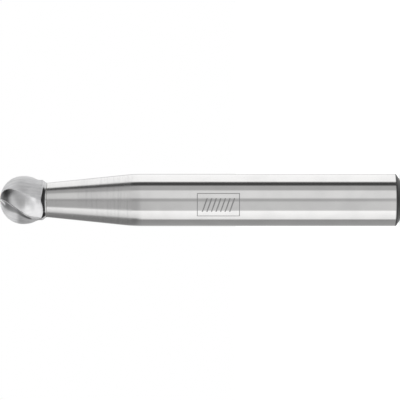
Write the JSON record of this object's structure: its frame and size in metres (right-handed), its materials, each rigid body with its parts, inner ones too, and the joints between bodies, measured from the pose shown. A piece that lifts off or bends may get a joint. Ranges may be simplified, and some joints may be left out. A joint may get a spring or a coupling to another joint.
{
  "type": "carbide burr",
  "caption": "Ball-nosed rotary burr: a fluted, relieved carbide head brazed to a steel shank with a tapered neck and a plain cylindrical grip.",
  "frame": {"origin": "middle of the flat end face of the shank", "axes": "+Z along the tool's axis from the shank end to the tip of the ball; -Y is the side that the picture shows, and +X is up in it"},
  "size_m": [0.006, 0.006, 0.046],
  "materials": {
    "carbide": "fine ground, satin",
    "braze": "satin solder",
    "steel": "ground, bright"
  },
  "bodies": {
    "root": {"carbide_head": "carbide", "braze_seam": "braze", "shank": "steel"}
  },
  "joints": []
}
